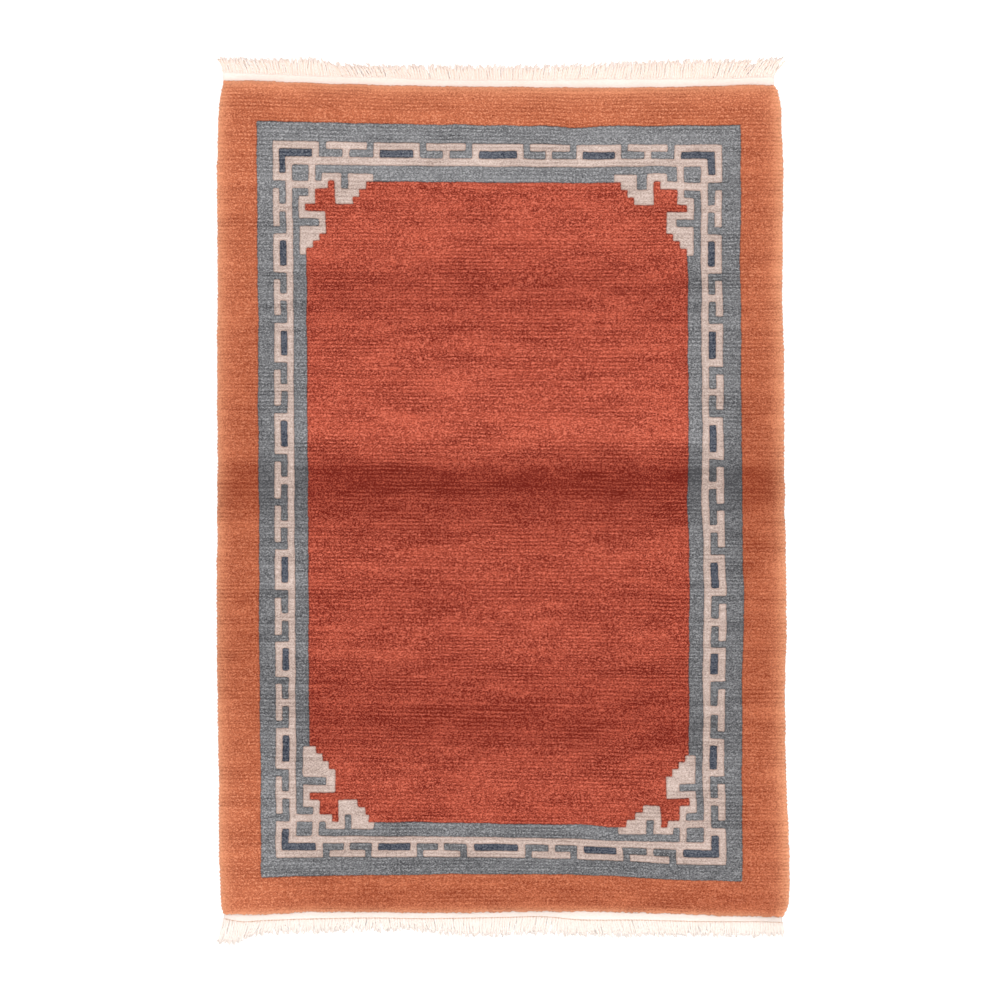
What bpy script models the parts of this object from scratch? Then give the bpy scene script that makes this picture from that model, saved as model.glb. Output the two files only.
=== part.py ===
"""A small hand knotted Tibetan rug, lying flat on the floor.

The knotted pile and its two flat woven end webs are one cloth. A cotton
fringe runs along each web: a narrow twined strip with loose strands.
X runs across the rug, Y along it with the head at +Y, and Z is up. The
underside lies on Z = 0, under the middle of the rug.
"""

import math
from collections import namedtuple

import bmesh
import bpy

MM = 0.001

# Thicknesses and heights, in millimetres.
PILE_HEIGHT = 11.0
PILE_EDGE_HEIGHT = 5.0
PILE_EDGE_ROUNDING = 8.0
WEB_HEIGHT = 2.0
STRIP_HEIGHT = 1.9
STRIP_WIDTH = 2.0
CLEARANCE = 0.3

# Fringe strands, each end.
STRANDS = 150
STRAND_SHARE = 0.66
STRAND_MIDDLE_WIDTH = 2.2
STRAND_MIDDLE_HEIGHT = 1.5
STRAND_TIP_WIDTH = 1.5
STRAND_TIP_HEIGHT = 1.0
STRAND_UNEVEN_LENGTH = 0.8
STRAND_UNEVEN_LEAN = 0.4

# Spacing of the cloth's mesh, in millimetres.
ACROSS_SPACING = 24.0
ALONG_SPACING = 24.0
EDGE_STEPS = (0.7, 2.2, 4.6, 8.0)

# The cloth's two long sides. All columns are in millimetres.
Side = namedtuple("Side", "y left right")
SIDES = (
    Side(447.2, -301.2, 292.6),
    Side(440.9, -303.0, 296.6),
    Side(425.8, -304.9, 298.6),
    Side(397.9, -306.4, 300.1),
    Side(354.8, -307.4, 301.4),
    Side(214.9, -306.8, 300.5),
    Side(139.6, -307.5, 302.1),
    Side(32.0, -306.9, 302.6),
    Side(-75.6, -307.7, 304.8),
    Side(-140.1, -307.8, 305.4),
    Side(-215.5, -306.8, 304.0),
    Side(-312.3, -305.4, 305.6),
    Side(-376.9, -305.3, 307.4),
    Side(-414.5, -304.2, 308.0),
    Side(-435.0, -303.1, 307.2),
    Side(-443.6, -301.8, 305.2),
    Side(-451.1, -300.1, 300.9),
)

# The two ends, from left to right. The pile's edge, the width of the web,
# and the length and sideways lean of the strands. All in millimetres.
End = namedtuple("End", "x pile web fringe lean")
HEAD = (
    End(-301.8, 447.9, 12.9, 15.4, -4.3),
    End(-271.7, 451.2, 8.4, 16.6, -7.5),
    End(-234.1, 449.6, 8.5, 17.9, -5.4),
    End(-217.9, 449.1, 8.4, 18.6, -1.0),
    End(-194.2, 448.3, 8.0, 18.4, -3.2),
    End(-174.9, 447.8, 8.0, 15.3, -8.7),
    End(-121.1, 446.1, 8.6, 14.0, -6.5),
    End(-67.3, 445.2, 7.5, 15.8, -4.3),
    End(29.6, 444.2, 8.2, 15.6, 1.1),
    End(83.4, 443.7, 9.1, 17.3, 6.5),
    End(147.9, 443.9, 9.4, 19.0, 3.2),
    End(212.5, 444.9, 8.9, 21.2, 1.1),
    End(250.1, 446.3, 8.0, 20.9, 9.7),
    End(273.8, 446.9, 8.7, 19.5, 13.0),
    End(293.2, 445.2, 10.2, 20.7, 9.7),
)
FOOT = (
    End(-300.8, -446.3, 4.7, 26.4, -3.2),
    End(-282.5, -446.5, 8.2, 20.1, -8.7),
    End(-255.6, -446.0, 7.2, 17.2, -7.6),
    End(-217.9, -444.2, 7.7, 15.3, 2.2),
    End(-169.5, -443.8, 7.1, 15.1, -4.3),
    End(-131.8, -443.9, 6.6, 15.3, 2.2),
    End(-99.6, -444.4, 6.8, 13.3, 3.2),
    End(-56.5, -444.3, 6.7, 18.9, 2.2),
    End(-2.7, -443.7, 6.3, 20.4, -3.2),
    End(45.7, -443.1, 6.1, 19.6, -5.4),
    End(83.4, -443.1, 9.4, 19.0, 4.3),
    End(147.9, -444.4, 8.4, 18.1, 5.4),
    End(212.5, -446.7, 7.7, 16.5, 2.2),
    End(273.8, -449.0, 5.5, 16.5, 0.0),
    End(299.6, -451.3, 4.0, 15.2, 2.2),
)

# Principled colours, linear, with roughness.
WOOL = ((0.42, 0.095, 0.055, 1.0), 0.95)
COTTON = ((0.88, 0.80, 0.72, 1.0), 0.9)


def smooth(table, key, column, at):
    """Read a column of a table at a place, on a smooth line through its rows."""
    rows = sorted(table, key=lambda row: getattr(row, key))
    places = [getattr(row, key) for row in rows]
    values = [getattr(row, column) for row in rows]
    if at <= places[0]:
        return values[0]
    if at >= places[-1]:
        return values[-1]
    i = 0
    while at > places[i + 1]:
        i += 1

    def slope(k):
        before = max(k - 1, 0)
        after = min(k + 1, len(rows) - 1)
        return (values[after] - values[before]) / (places[after] - places[before])

    span = places[i + 1] - places[i]
    f = (at - places[i]) / span
    start = values[i] * (1 + 2 * f) * (1 - f) ** 2
    end = values[i + 1] * f * f * (3 - 2 * f)
    bend = slope(i) * f * (1 - f) ** 2 - slope(i + 1) * f * f * (1 - f)
    return start + end + bend * span


def lines(length, spacing, steps):
    """Mesh lines over a width: the share of the width and a step in from the edge."""
    count = round(length / spacing)
    inner = [(k / count, 0.0) for k in range(1, count)]
    near = [(0.0, 0.0)] + [(0.0, step) for step in steps]
    far = [(1.0, -step) for step in reversed(steps)] + [(1.0, 0.0)]
    return near + inner + far


def edge_height(distance):
    """Height of the pile at a distance in from its rounded edge."""
    short = 1.0 - min(distance / PILE_EDGE_ROUNDING, 1.0)
    rise = math.sqrt(1.0 - short * short)
    return PILE_EDGE_HEIGHT + (PILE_HEIGHT - PILE_EDGE_HEIGHT) * rise


ACROSS = lines(610.0, ACROSS_SPACING, EDGE_STEPS)
ALONG = lines(894.0, ALONG_SPACING, EDGE_STEPS)


def nominal_x(share, step):
    left = smooth(SIDES, "y", "left", 0.0)
    right = smooth(SIDES, "y", "right", 0.0)
    return left + share * (right - left) + step


def side_x(y, share, step):
    left = smooth(SIDES, "y", "left", y)
    right = smooth(SIDES, "y", "right", y)
    return left + share * (right - left) + step


def cloth_rows():
    """One row for each mesh line along the rug, from foot to head."""
    rows = []
    for outward in (1.0, 0.0):
        rows.append([web_point(FOOT, -1.0, outward, line) for line in ACROSS])
    for share_y, step_y in ALONG:
        row = []
        for share_x, step_x in ACROSS:
            x = nominal_x(share_x, step_x)
            foot = smooth(FOOT, "x", "pile", x)
            head = smooth(HEAD, "x", "pile", x)
            y = foot + share_y * (head - foot) + step_y
            if step_y == 0.0 and share_y in (0.0, 1.0):
                y += 0.3 if share_y == 0.0 else -0.3
            distance_y = min(y - foot, head - y)
            x = side_x(y, share_x, step_x)
            distance_x = min(x - side_x(y, 0.0, 0.0), side_x(y, 1.0, 0.0) - x)
            low = min(edge_height(distance_x), edge_height(distance_y))
            row.append((x, y, low))
        rows.append(row)
    for outward in (0.0, 1.0):
        rows.append([web_point(HEAD, 1.0, outward, line) for line in ACROSS])
    return rows


def web_point(end, direction, outward, line):
    share, step = line
    x = nominal_x(share, step)
    pile = smooth(end, "x", "pile", x)
    y = pile + direction * outward * smooth(end, "x", "web", x)
    return (side_x(y, share, step), y, WEB_HEIGHT)


def grid(bm, columns, rows, place):
    """A grid of faces, with each point set by its column and row."""
    bmesh.ops.create_grid(bm, x_segments=columns - 1, y_segments=rows - 1, size=0.5)
    for vert in bm.verts:
        i = round((vert.co.x + 0.5) * (columns - 1))
        j = round((vert.co.y + 0.5) * (rows - 1))
        x, y, z = place(i, j)
        vert.co = (x * MM, y * MM, z * MM)


def close_below(bm):
    """Take the open sheet's border straight down to the floor and close it."""
    border = [edge for edge in bm.edges if edge.is_boundary]
    walls = bmesh.ops.extrude_edge_only(bm, edges=border)["geom"]
    low = [part for part in walls if isinstance(part, bmesh.types.BMVert)]
    for vert in low:
        vert.co.z = 0.0
    below = set(low)
    rim = [edge for edge in bm.edges if set(edge.verts) <= below]
    bmesh.ops.edgeloop_fill(bm, edges=rim)
    bmesh.ops.recalc_face_normals(bm, faces=bm.faces)


def finish(bm, name, colour):
    mesh = bpy.data.meshes.new(name)
    bm.to_mesh(mesh)
    bm.free()
    material = bpy.data.materials.new(name + "_material")
    material.use_nodes = True
    shader = material.node_tree.nodes["Principled BSDF"]
    shader.inputs["Base Color"].default_value = colour[0]
    shader.inputs["Roughness"].default_value = colour[1]
    shader.inputs["Metallic"].default_value = 0.0
    mesh.materials.append(material)
    piece = bpy.data.objects.new(name, mesh)
    bpy.context.scene.collection.objects.link(piece)
    return piece


def make_cloth():
    rows = cloth_rows()
    bm = bmesh.new()
    grid(bm, len(ACROSS), len(rows), lambda i, j: rows[j][i])
    close_below(bm)
    finish(bm, "rug_cloth", WOOL)
    return rows


def along_edge(edge, x):
    """Y of the cloth's outer edge at x, on the straight runs between its points."""
    for before, after in zip(edge, edge[1:]):
        if x <= after[0]:
            share = (x - before[0]) / (after[0] - before[0])
            return before[1] + share * (after[1] - before[1])
    return edge[-1][1]


def unevenness(k, step):
    """A steady wander between -1 and 1, different for each strand."""
    return math.sin(k * step) * 0.6 + math.sin(k * step * 2.7 + 1.0) * 0.4


def make_fringe(name, end, edge, direction):
    """A twined strip along the web's outer edge, with its strands."""
    start = edge[0][0]
    width = edge[-1][0] - start
    pitch = width / (STRANDS + (STRANDS - 1) * (1 - STRAND_SHARE) / STRAND_SHARE)
    gap = pitch * (1 - STRAND_SHARE) / STRAND_SHARE

    def strip_point(i, j):
        x = start + (i // 2) * (pitch + gap) + (i % 2) * pitch
        outward = CLEARANCE + j * STRIP_WIDTH
        return (x, along_edge(edge, x) + direction * outward, STRIP_HEIGHT)

    bm = bmesh.new()
    grid(bm, 2 * STRANDS, 2, strip_point)
    close_below(bm)

    roots = {}
    for face in bm.faces:
        centre = face.calc_center_median()
        y = along_edge(edge, centre.x / MM) + direction * (CLEARANCE + STRIP_WIDTH)
        upright = abs(face.normal.z) < 0.01 and abs(centre.y / MM - y) < 0.1
        place = (centre.x / MM - start - pitch / 2) / (pitch + gap)
        if upright and abs(place - round(place)) < 0.2:
            roots[round(place)] = face

    for k, root in sorted(roots.items()):
        centre = root.calc_center_median()
        x = centre.x / MM
        y = centre.y / MM
        length = smooth(end, "x", "fringe", x) - CLEARANCE - STRIP_WIDTH
        length += STRAND_UNEVEN_LENGTH * unevenness(k, 1.9)
        lean = smooth(end, "x", "lean", x) + STRAND_UNEVEN_LEAN * unevenness(k, 2.3)
        face = root
        for along, sideways, wide, high in (
            (0.5, 0.38, STRAND_MIDDLE_WIDTH, STRAND_MIDDLE_HEIGHT),
            (1.0, 1.0, STRAND_TIP_WIDTH, STRAND_TIP_HEIGHT),
        ):
            face = bmesh.ops.extrude_discrete_faces(bm, faces=[face])["faces"][0]
            middle = face.calc_center_median().x
            for vert in face.verts:
                side = 1.0 if vert.co.x > middle else -1.0
                vert.co.x = (x + lean * sideways + side * wide / 2) * MM
                vert.co.y = (y + direction * length * along) * MM
                if vert.co.z > 0.0001:
                    vert.co.z = high * MM

    bmesh.ops.recalc_face_normals(bm, faces=bm.faces)
    finish(bm, name, COTTON)


def main():
    for piece in list(bpy.data.objects):
        bpy.data.objects.remove(piece)
    rows = make_cloth()
    make_fringe("head_fringe", HEAD, rows[-1], 1.0)
    make_fringe("foot_fringe", FOOT, rows[0], -1.0)


main()
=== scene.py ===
"""The looks of a small hand knotted Tibetan rug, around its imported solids.

Wool pile in five yarns stands on a thin ground cloth, knot by knot, after a
chart of the fret border. Flat cotton webs and fringes finish the two ends.
X runs across the rug, Y along it with the head at +Y, and Z is up.
"""

import math
import random
from bisect import bisect_right
from collections import namedtuple
from functools import partial

import bmesh
import bpy
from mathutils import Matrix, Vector, noise


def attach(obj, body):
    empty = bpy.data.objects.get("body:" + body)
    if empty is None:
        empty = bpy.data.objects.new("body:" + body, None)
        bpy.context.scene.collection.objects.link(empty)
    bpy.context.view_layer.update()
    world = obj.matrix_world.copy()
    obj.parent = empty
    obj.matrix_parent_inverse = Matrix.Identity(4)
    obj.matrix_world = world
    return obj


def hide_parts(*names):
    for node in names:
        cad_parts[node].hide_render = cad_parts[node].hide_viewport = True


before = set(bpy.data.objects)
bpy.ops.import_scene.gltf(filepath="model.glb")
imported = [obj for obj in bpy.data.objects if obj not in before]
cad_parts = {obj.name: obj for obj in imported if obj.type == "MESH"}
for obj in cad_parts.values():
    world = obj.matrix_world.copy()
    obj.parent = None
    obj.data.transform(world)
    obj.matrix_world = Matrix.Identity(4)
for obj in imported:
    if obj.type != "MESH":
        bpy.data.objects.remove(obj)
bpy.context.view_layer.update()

bl_info = {
    "name": "Knotted Rug",
    "version": (1, 0, 0),
    "blender": (4, 5, 0),
    "location": "View3D > Sidebar > Rug",
    "description": "Builds the pile, ground, webs and fringes of a small knotted rug",
    "category": "Object",
}

MM = 0.001
SEED = 11


def rows_of(columns, *rows):
    """The rows of a table, with a name for each column."""
    named = namedtuple("Row", columns)
    return [named(*row) for row in rows]


# The pile's outline. The lengths down to the stage are in millimetres.
SIDES = rows_of(
    "y left right",
    (447.2, -301.2, 292.6),
    (440.9, -303.0, 296.6),
    (425.8, -304.9, 299.1),
    (397.9, -306.4, 300.9),
    (354.8, -307.4, 302.4),
    (214.9, -306.8, 301.5),
    (139.6, -307.5, 303.3),
    (32.0, -306.9, 303.5),
    (-75.6, -307.7, 305.4),
    (-140.1, -307.8, 305.8),
    (-215.5, -306.8, 304.2),
    (-312.3, -305.4, 306.1),
    (-376.9, -305.3, 308.7),
    (-414.5, -304.2, 309.2),
    (-435.0, -303.1, 308.0),
    (-443.6, -301.8, 305.2),
    (-451.1, -300.1, 300.9),
)

# The two ends: the pile's edge, the width of the web, and the length and
# sideways lean of the strands.
END_COLUMNS = "x pile web fringe lean"
HEAD = rows_of(
    END_COLUMNS,
    (-301.8, 448.2, 12.9, 17.0, -5.5),
    (-271.7, 451.5, 8.4, 16.6, -7.5),
    (-234.1, 449.9, 8.5, 17.9, -5.4),
    (-217.9, 449.4, 8.4, 18.6, -1.0),
    (-194.2, 448.6, 8.0, 18.4, -3.2),
    (-174.9, 448.1, 8.0, 15.3, -8.7),
    (-121.1, 446.4, 8.6, 14.0, -6.5),
    (-67.3, 445.5, 7.5, 15.8, -4.3),
    (29.6, 444.5, 8.2, 15.6, 1.1),
    (83.4, 444.0, 9.1, 17.3, 6.5),
    (147.9, 444.2, 9.4, 19.0, 3.2),
    (212.5, 445.2, 8.9, 21.2, 2.1),
    (240.0, 446.2, 8.2, 21.0, 9.0),
    (257.5, 446.8, 8.2, 20.6, 12.0),
    (260.5, 446.9, 8.3, 13.5, 12.3),
    (263.0, 446.9, 8.4, 13.5, 12.5),
    (265.5, 447.0, 8.4, 21.5, 12.8),
    (273.8, 447.2, 8.7, 21.5, 13.0),
    (293.2, 445.5, 10.2, 22.0, 12.0),
)
FOOT = rows_of(
    END_COLUMNS,
    (-300.8, -446.8, 4.4, 28.0, -7.0),
    (-290.0, -446.9, 6.5, 27.5, -7.5),
    (-279.0, -447.0, 7.8, 24.0, -8.0),
    (-268.0, -446.8, 7.4, 19.5, -8.0),
    (-255.6, -446.5, 6.9, 17.2, -7.6),
    (-217.9, -444.7, 7.4, 15.3, 2.2),
    (-169.5, -444.3, 6.8, 15.1, -4.3),
    (-131.8, -444.4, 6.3, 15.3, 2.2),
    (-99.6, -444.9, 6.5, 13.3, 3.2),
    (-56.5, -444.8, 6.4, 18.9, 2.2),
    (-2.7, -444.2, 6.0, 20.4, -3.2),
    (45.7, -443.6, 5.8, 19.6, -5.4),
    (83.4, -443.6, 9.1, 19.0, 4.3),
    (147.9, -444.9, 8.1, 18.1, 5.4),
    (212.5, -447.2, 7.4, 16.5, 2.2),
    (273.8, -449.5, 5.2, 16.5, 1.0),
    (299.6, -451.8, 3.7, 15.5, 1.5),
)

# The chart, in knots. Column 0 and row 0 are the fret's outer edges at the
# left and at the head. The slate and rust borders lie outside them.
FRET_COLUMNS = 136
FRET_ROWS = 196
SLATE_KNOTS = 5
LEFT_COLUMN = -17
RIGHT_COLUMN = 154
TOP_ROW = -16
BOTTOM_ROW = 211
FRET_DEPTH = 10
PILE_COLUMNS = RIGHT_COLUMN - LEFT_COLUMN
PILE_ROWS = BOTTOM_ROW - TOP_ROW

# Where the columns of knots really run, at the head and at the foot.
COLUMNS = rows_of(
    "knot head foot",
    (-5, -264.4, -260.0),
    (0, -247.0, -243.5),
    (14, -197.5, -193.0),
    (28, -146.0, -148.0),
    (44, -89.0, -92.0),
    (58, -39.5, -46.0),
    (76, 23.0, 24.0),
    (90, 72.5, 73.5),
    (106, 127.5, 130.5),
    (120, 178.0, 180.0),
    (128, 206.2, 209.2),
    (136, 236.0, 240.5),
    (141, 256.4, 258.1),
)

# Where the rows of knots really run, at the left and right, and how far their
# middle bows.
ROWS = rows_of(
    "knot left right bow",
    (-5, 407.6, 403.3, -2.8),
    (0, 386.5, 382.0, -1.2),
    (4, 370.0, 366.5, -1.2),
    (10, 344.0, 341.0, -1.0),
    (22, 294.5, 293.5, 0.0),
    (35, 245.0, 243.0, 0.0),
    (47, 199.0, 197.5, 0.0),
    (60, 148.0, 143.0, 0.0),
    (72, 101.0, 96.5, 0.0),
    (85, 49.0, 43.0, 0.0),
    (97, 1.0, -4.0, 0.0),
    (109, -45.5, -51.5, 0.0),
    (122, -97.0, -103.5, 0.0),
    (134, -145.5, -152.0, 0.0),
    (147, -190.5, -196.0, 0.0),
    (159, -238.0, -248.5, 0.0),
    (172, -287.5, -297.0, 0.0),
    (184, -338.0, -345.5, 1.0),
    (196, -385.5, -393.2, 4.3),
    (201, -406.3, -409.8, 5.3),
)

# Blocks of the chart, from the fret's corner inwards: first and last column,
# then first and last row. Later blocks cover earlier ones.
Block = namedtuple("Block", "yarn left right top bottom")
cream = partial(Block, "cream")
navy = partial(Block, "navy")
slate = partial(Block, "slate")
FRET_CORNER = (
    cream(0, 14, 0, 2),
    cream(12, 14, 2, 4),
    cream(0, 2, 0, 10),
    cream(2, 4, 8, 10),
    navy(2, 12, 2, 4),
    navy(2, 4, 2, 8),
    slate(6, 15, 6, 10),
    slate(10, 11, 10, 14),
    cream(4, 17, 10, 12),
    cream(11, 13, 4, 14),
)
# The figures along the half of an end, with their first columns and widths, and
# the figures along the half of a side, with their heights.
END_FIGURES = (("T", 16, 12), ("box", 30, 14), ("T", 46, 12), ("box", 60, 16))
SIDE_FIGURES = ("T", "box") * 3 + ("T",)
SIDE_HEIGHTS = {"T": 10, "box": 11}
FIGURE_GAP = 2

# The bracket at each corner: where its arm along the end starts, its gap, the
# width of its step, and how far its stub and tail along the side reach in.
Corner = namedtuple("Corner", "start gap step stub reach")
CORNERS = {
    ("left", "head"): Corner(15, 2, 7, 14, 16),
    ("right", "head"): Corner(16, 3, 8, 13, 16),
    ("left", "foot"): Corner(15, 2, 8, 15, 18),
    ("right", "foot"): Corner(15, 2, 7, 13, 17),
}

# The bands along the rug, partly of the hand dyed yarn and partly painted sheen and shade
# from the pile's brushing: the share of the pale tone at the left border, in the field and at the
# right.
BANDS = rows_of(
    "y left middle right",
    (441, 0.65, 0.64, 0.68),
    (398, 0.63, 0.66, 0.55),
    (366, 0.67, 0.75, 0.53),
    (342, 0.65, 0.64, 0.50),
    (317, 0.58, 0.57, 0.47),
    (280, 0.55, 0.62, 0.52),
    (236, 0.53, 0.43, 0.51),
    (210, 0.51, 0.45, 0.49),
    (172, 0.50, 0.55, 0.47),
    (134, 0.49, 0.59, 0.45),
    (91, 0.47, 0.63, 0.41),
    (80, 0.47, 0.66, 0.39),
    (59, 0.46, 0.60, 0.36),
    (48, 0.43, 0.49, 0.32),
    (37, 0.33, 0.30, 0.22),
    (27, 0.24, 0.18, 0.14),
    (16, 0.20, 0.19, 0.12),
    (5, 0.22, 0.26, 0.15),
    (-8, 0.30, 0.32, 0.21),
    (-16, 0.36, 0.35, 0.28),
    (-38, 0.44, 0.44, 0.34),
    (-59, 0.47, 0.54, 0.38),
    (-113, 0.41, 0.46, 0.40),
    (-156, 0.40, 0.52, 0.37),
    (-180, 0.42, 0.44, 0.38),
    (-210, 0.46, 0.37, 0.39),
    (-237, 0.50, 0.32, 0.40),
    (-264, 0.54, 0.38, 0.44),
    (-302, 0.60, 0.53, 0.45),
    (-330, 0.62, 0.49, 0.44),
    (-355, 0.62, 0.53, 0.44),
    (-398, 0.64, 0.48, 0.46),
    (-420, 0.71, 0.45, 0.41),
    (-431, 0.69, 0.41, 0.37),
    (-440, 0.67, 0.43, 0.36),
)

# Places where the knots crept aside on the loom: where, how far, and how wide.
PULLS = rows_of(
    "x y across along reach",
    (-164, 346, -2.2, 0.0, 20),
    (52, 375, -2.4, 0.0, 15),
    (-13, 375, 1.4, 0.0, 15),
    (-236, 177, 0.0, -1.9, 16),
    (-236, -291, 0.0, -2.4, 27),
    (205, 0, -2.2, 0.0, 32),
    (225, -277, -2.0, -1.0, 42),
    (257, -130, 3.0, 0.0, 48),
    (166, 342, -1.2, 1.6, 28),
    (185, 290, -2.0, 0.0, 24),
    (-207, 320, -1.4, 0.3, 26),
    (-143, -338, 4.5, 0.0, 20),
    (-186, -306, 0.0, -2.4, 22),
    (127, -352, -6.0, -2.3, 20),
    (173, -344, 2.2, -0.8, 13),
    (178, -310, 0.0, -2.4, 30),
    (-222, 370, -1.4, 0.0, 22),
    (84, 404, 0.0, -2.2, 22),
    (-46, 404, 0.0, 1.2, 16),
    (205, -409, 0.0, -1.2, 30),
    (-262, -129, -1.2, 0.0, 20),
    (-262, 194, 0.9, 0.0, 20),
    (-120, -388, 0.0, -0.7, 40),
    (170, -409, 0.0, -1.3, 35),
    (-204, -362, -1.6, 0.0, 14),
    (-235, -372, -1.2, 0.0, 14),
    (228, -150, -0.9, 0.0, 60),
    (256, 258, -1.5, 0.0, 30),
    (256, -30, 1.2, 0.0, 70),
    (256, -265, 1.0, 0.0, 45),
)

# How each yarn looks: how far it follows the bands, how strong its flecks and
# its streaks are, how bright its painted glints are, and the depth of the lines of its rows.
Wool = namedtuple("Wool", "bands flecks streaks glints lines")
WOOLS = {
    "rust": Wool(0.8, 0.72, 0.5, 0.85, 0.7),
    "slate": Wool(1.05, 1.0, 0.8, 1.0, 0.7),
    "cream": Wool(0.4, 0.85, 0.8, 0.6, 0.65),
    "navy": Wool(0.4, 1.6, 0.8, 1.0, 0.6),
    "red": Wool(1.05, 1.25, 0.75, 1.1, 0.7),
}
YARNS = tuple(WOOLS)
# The yarns with a painted edge, light on the rust's rim and shade along the cream's
# joins with other yarns: the colour's name, and the attribute it follows.
EDGES = {"rust": ("rim", "rim"), "cream": ("join", "seam")}

# The shares of the pale tone and of the raised tips that leave a yarn as dyed.
MEAN_BAND = 0.55
MEAN_TIP = 0.6
# From here out the side borders' bands take over from the field's.
BORDER_BANDS = (200.0, 260.0)

# How far in from the outline the painted light on the pile's rim reaches, in
# millimetres. It reaches further in on the right side, and most near the foot.
SIDE_RIM_REACH = 5.5
RIGHT_RIM_REACH = 6.5
HEAD_RIM_REACH = 7.0
FOOT_RIM_REACH = 3.2
RIGHT_RIM_GROWS = (300.0, 360.0)
# The lines of the rows are softer this near the foot and stronger this near the head.
SOFT_LINES = 30.0
STRONG_LINES = 85.0

# How unevenly the knots stand, in millimetres.
WANDER = 0.9
WANDER_LENGTH = 28
LOOSE_ACROSS = 0.35
LOOSE_ALONG = 0.30
CORNER_ROUNDING = 0.3

# The ground cloth's size as a share of the pile's.
GROUND_SHARE = 0.998

# The webs: rows in sight, how far they run in under the pile, and their underside.
WEB_ROWS = 18
WEB_TUCKED = 5.0
WEB_BOTTOM = 0.35

# The twined edges: how thick a yarn is, how far it lies from their middle, and
# how far out from the web that middle is.
Twine = namedtuple("Twine", "radius offset out")
TWINES = {"head": Twine(0.45, 0.35, -0.3), "foot": Twine(0.38, 0.30, 0.1)}
TWINE_HEIGHT = 1.75
TWINE_INSET = 0.8

# The layers of strands, from the top down: the first one's place in the gap
# between two, the height, how much shorter they are and how far they stray.
LAYERS = rows_of(
    "start height shorter spread",
    (0.5, 1.35, 0.0, 1.4),
    (0.0, 0.8, 3.0, 2.4),
    (0.75, 0.7, 4.0, 3.0),
)
Strand = namedtuple("Strand", "x y length lean height curl phase")
TUBE_SIDES = 5
STRAND_RINGS = 13
STRAND_ROOT = 0.6
CURL = {"head": 1.7, "foot": 2.3}
UNRULY_CURL = 4.5
UNRULY_SHARE = 0.06
TIP_HEIGHT = 0.55
OFF_FLOOR = 0.05
# The share of a strand's length at which its plies part.
PLIES_PART = 0.72
# How much of their shade the lower layers of strands take.
LOWER_SHADE = {"head": 0.8, "foot": 0.1}

# Painted shade of the cotton between its threads and on the lower layers of strands.
SHADE_BETWEEN_THREADS = (0.85, 0.79, 0.71)
SHADE_OF_LOWER_LAYERS = (0.97, 0.92, 0.83)

# The stage, in metres. The picture's middle is a little off the rug's.
FLOOR_REACH = 6.0
LIGHT_HEIGHT = 2.4
LIGHT_SIZE = 1.6
END_LIGHTS = 2.3
SIDE_LIGHTS = 2.1
PICTURE_MIDDLE = (-0.0027, -0.0003)


def item(name, text, default, low=0.0, high=10.0, unit="NONE"):
    """A single number that a user can change."""
    return bpy.props.FloatProperty(
        name=name, description=text, default=default, min=low, max=high, unit=unit, precision=4
    )


def length(name, text, default):
    """A length that a user can change."""
    return item(name, text, default, unit="LENGTH")


def dye(name, text, default):
    """A colour that a user can change."""
    return bpy.props.FloatVectorProperty(
        name=name, description=text, default=default, size=3, subtype="COLOR", min=0.0, max=1.0
    )


class RugSizes(bpy.types.PropertyGroup):
    """Thicknesses of the cloth and its pile."""

    pile_height: length("Pile height", "Floor to the tips of the pile", 0.011)
    edge_height: length("Edge height", "Height of the pile at its outline", 0.005)
    edge_rounding: length("Edge rounding", "Width of the rounded rim", 0.008)
    row_groove: length("Row groove", "Depth between two rows", 0.0012)
    knot_groove: length("Knot groove", "Depth between two knots", 0.0002)
    carving: length("Carving", "Extra depth where the yarn changes", 0.0007)
    uneven_tips: length("Uneven tips", "How much knots differ in height", 0.0005)
    ground: length("Ground", "Thickness of the ground cloth", 0.002)
    back_relief: length("Back relief", "Height of the knots' loops below", 0.0003)


class YarnColours(bpy.types.PropertyGroup):
    """Colours of the yarns as the light meets them."""

    red: dye("Red", "Yarn of the open field", (0.168, 0.0193, 0.0075))
    rust: dye("Rust", "Yarn of the outer border", (0.232, 0.0475, 0.0153))
    slate: dye("Slate", "Yarn between the lines of the fret", (0.0680, 0.0676, 0.0716))
    cream: dye("Cream", "Yarn of the fret", (0.343, 0.269, 0.237))
    navy: dye("Navy", "Yarn inside the boxes", (0.0230, 0.0286, 0.0440))
    # The tips colours are painted sheen on the pile's tips, and the colours of its painted glints.
    red_tips: dye("Red tips", "Brushed ends of the red yarn", (0.475, 0.116, 0.070))
    rust_tips: dye("Rust tips", "Brushed ends of the rust yarn", (0.53, 0.200, 0.108))
    slate_tips: dye("Slate tips", "Brushed ends of the slate yarn", (0.264, 0.262, 0.267))
    cream_tips: dye("Cream tips", "Brushed ends of the cream yarn", (0.46, 0.371, 0.334))
    navy_tips: dye("Navy tips", "Brushed ends of the navy yarn", (0.132, 0.136, 0.15))
    # Rim: painted light on the pile's outer edge, where its sloping sides catch the light.
    rim: dye("Rim", "Worn outer edge of the border", (0.72, 0.335, 0.18))
    # Painted shade of the carved groove where another yarn meets the cream.
    join: dye("Join", "Edge of the cream where another yarn meets it", (0.33, 0.221, 0.182))
    cotton: dye("Cotton", "Web at the head", (0.64, 0.546, 0.510))
    pale_cotton: dye("Pale cotton", "Web and fringe at the foot", (0.64, 0.580, 0.553))
    # Seam: painted shade of the groove between the foot's web and its fringe, given to the foot's
    # twined edge as its colour.
    seam: dye("Seam", "Thread along the foot", (0.464, 0.312, 0.232))


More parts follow.
